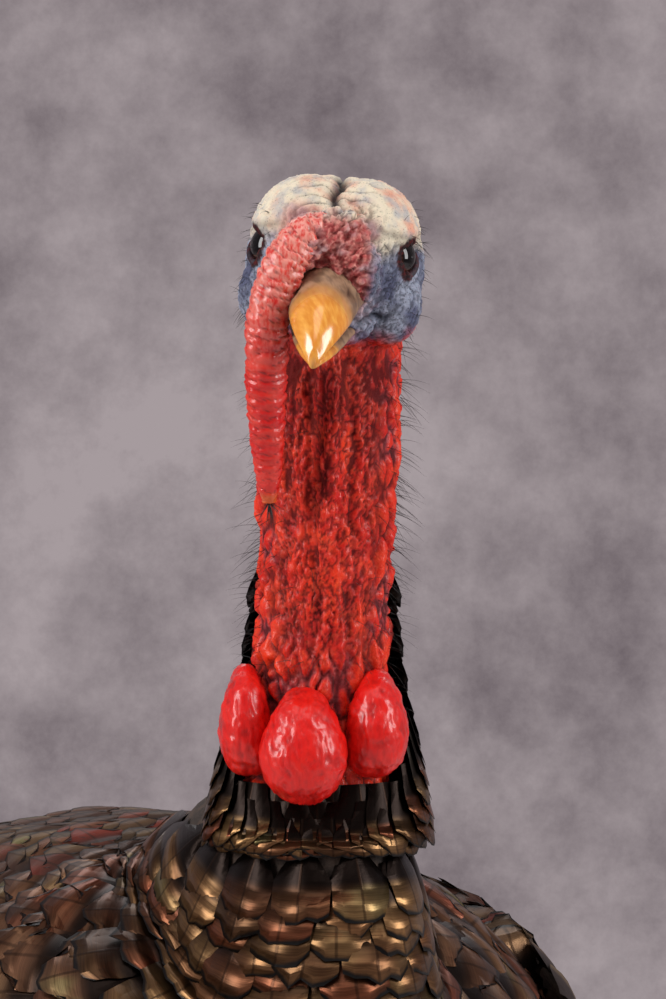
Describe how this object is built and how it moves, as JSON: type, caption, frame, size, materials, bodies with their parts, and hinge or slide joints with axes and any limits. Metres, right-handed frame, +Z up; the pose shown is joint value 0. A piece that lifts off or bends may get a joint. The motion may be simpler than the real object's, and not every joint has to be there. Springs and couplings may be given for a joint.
{
  "type": "turkey decoy",
  "caption": "Full-body gobbler decoy with a feathered skin on a carved form, turning head, lifting tail fan and a swivelling ground stake.",
  "frame": {"origin": "on the ground stake's axis at ground level, which is the underside of its foot step", "axes": "+Z up along the stake, -Y the way the body faces, +X the bird's left side"},
  "size_m": [0.3102, 0.8021, 0.9362],
  "materials": {
    "foam": "carved rigid foam, matte, tan",
    "feather": "bronze and copper feathers with black tips, metallic sheen",
    "wing_feather": "brown feathers, copper patches, barred flight feathers",
    "tail_feather": "brown feathers with fine bars, a black band and a rust-brown tip",
    "skin_red": "glossy, wrinkled, bright red painted skin",
    "skin_blue": "pebbled blue and white painted skin, pink wrinkles",
    "horn": "ochre, glossy tip, brown-grey base",
    "eye_glass": "dark brown glass eye, polished",
    "bristle": "coarse black bristles",
    "steel": "zinc-plated steel, lightly worn",
    "black_paint": "satin black paint",
    "nylon": "natural nylon",
    "rubber": "black rubber",
    "epoxy": "grey modelling epoxy, matte"
  },
  "bodies": {
    "stake": {"ground_stake": "steel", "foot_step": "black_paint", "stake_collar": "steel", "collar_screw": "steel", "thrust_washer": "nylon"},
    "bird": {"body_form": "foam", "stake_socket_tube": "nylon", "socket_bearing_plug": "nylon", "neck_socket": "nylon", "shoulder_cape": "feather", "back_skin": "feather", "breast_skin": "feather", "left_flank_skin": "feather", "right_flank_skin": "feather", "left_flight_feathers": "wing_feather", "right_flight_feathers": "wing_feather", "left_wing_coverts": "wing_feather", "right_wing_coverts": "wing_feather", "left_front_wing_wire": "steel", "left_rear_wing_wire": "steel", "right_front_wing_wire": "steel", "right_rear_wing_wire": "steel", "beard": "bristle", "tail_bracket": "steel", "left_bracket_screw": "steel", "right_bracket_screw": "steel", "tail_hinge_pin": "steel"},
    "head": {"neck_plug": "black_paint", "neck_friction_ring": "rubber", "neck_core": "foam", "neck_wire": "steel", "neck_skin": "skin_red", "nape_feathers": "feather", "throat_wattle": "skin_red", "snood": "skin_red", "middle_caruncle": "skin_red", "right_caruncle": "skin_red", "left_caruncle": "skin_red", "head_cast": "skin_blue", "upper_beak": "horn", "lower_beak": "horn", "left_eye": "eye_glass", "right_eye": "eye_glass", "left_eyelid": "skin_blue", "right_eyelid": "skin_blue"},
    "tail": {"tail_block": "epoxy", "fan_bolt": "steel", "fan_nut": "steel", "upper_tail_coverts": "feather", "under_tail_coverts": "feather", "middle_tail_feathers": "tail_feather"},
    "tail_left_1": {"left_tail_feathers_1": "tail_feather"},
    "tail_left_2": {"left_tail_feathers_2": "tail_feather"},
    "tail_left_3": {"left_tail_feathers_3": "tail_feather"},
    "tail_left_4": {"left_tail_feathers_4": "tail_feather"},
    "tail_right_1": {"right_tail_feathers_1": "tail_feather"},
    "tail_right_2": {"right_tail_feathers_2": "tail_feather"},
    "tail_right_3": {"right_tail_feathers_3": "tail_feather"},
    "tail_right_4": {"right_tail_feathers_4": "tail_feather"}
  },
  "joints": [
    {"name": "body_swivel", "type": "hinge", "parent": "stake", "child": "bird", "pos_m": [0, 0, 0.1957], "axis": [0, 0, 1], "continuous": true},
    {"name": "head_turn", "type": "hinge", "parent": "bird", "child": "head", "pos_m": [0, -0.132, 0.4835], "axis": [0, 0, 1], "range_deg": [-34, 86]},
    {"name": "tail_lift", "type": "hinge", "parent": "bird", "child": "tail", "pos_m": [0, 0.268, 0.35248], "axis": [1, 0, 0], "range_deg": [0, 70]},
    {"name": "fan_spread", "type": "hinge", "parent": "tail", "child": "tail_left_4", "pos_m": [0, 0.28975, 0.34234], "axis": [0, -0.4226, -0.9063], "range_deg": [0, 64]},
    {"name": "left_fan_3", "type": "hinge", "parent": "tail", "child": "tail_left_3", "pos_m": [0, 0.28975, 0.34234], "axis": [0, -0.4226, -0.9063], "range_deg": [0, 48]},
    {"name": "left_fan_2", "type": "hinge", "parent": "tail", "child": "tail_left_2", "pos_m": [0, 0.28975, 0.34234], "axis": [0, -0.4226, -0.9063], "range_deg": [0, 32]},
    {"name": "left_fan_1", "type": "hinge", "parent": "tail", "child": "tail_left_1", "pos_m": [0, 0.28975, 0.34234], "axis": [0, -0.4226, -0.9063], "range_deg": [0, 16]},
    {"name": "right_fan_4", "type": "hinge", "parent": "tail", "child": "tail_right_4", "pos_m": [0, 0.28975, 0.34234], "axis": [0, 0.4226, 0.9063], "range_deg": [0, 64]},
    {"name": "right_fan_3", "type": "hinge", "parent": "tail", "child": "tail_right_3", "pos_m": [0, 0.28975, 0.34234], "axis": [0, 0.4226, 0.9063], "range_deg": [0, 48]},
    {"name": "right_fan_2", "type": "hinge", "parent": "tail", "child": "tail_right_2", "pos_m": [0, 0.28975, 0.34234], "axis": [0, 0.4226, 0.9063], "range_deg": [0, 32]},
    {"name": "right_fan_1", "type": "hinge", "parent": "tail", "child": "tail_right_1", "pos_m": [0, 0.28975, 0.34234], "axis": [0, 0.4226, 0.9063], "range_deg": [0, 16]}
  ],
  "couplings": [
    {"joint": "left_fan_3", "follows": "fan_spread", "ratio": 0.75},
    {"joint": "left_fan_2", "follows": "fan_spread", "ratio": 0.5},
    {"joint": "left_fan_1", "follows": "fan_spread", "ratio": 0.25},
    {"joint": "right_fan_4", "follows": "fan_spread", "ratio": 1},
    {"joint": "right_fan_3", "follows": "fan_spread", "ratio": 0.75},
    {"joint": "right_fan_2", "follows": "fan_spread", "ratio": 0.5},
    {"joint": "right_fan_1", "follows": "fan_spread", "ratio": 0.25}
  ]
}
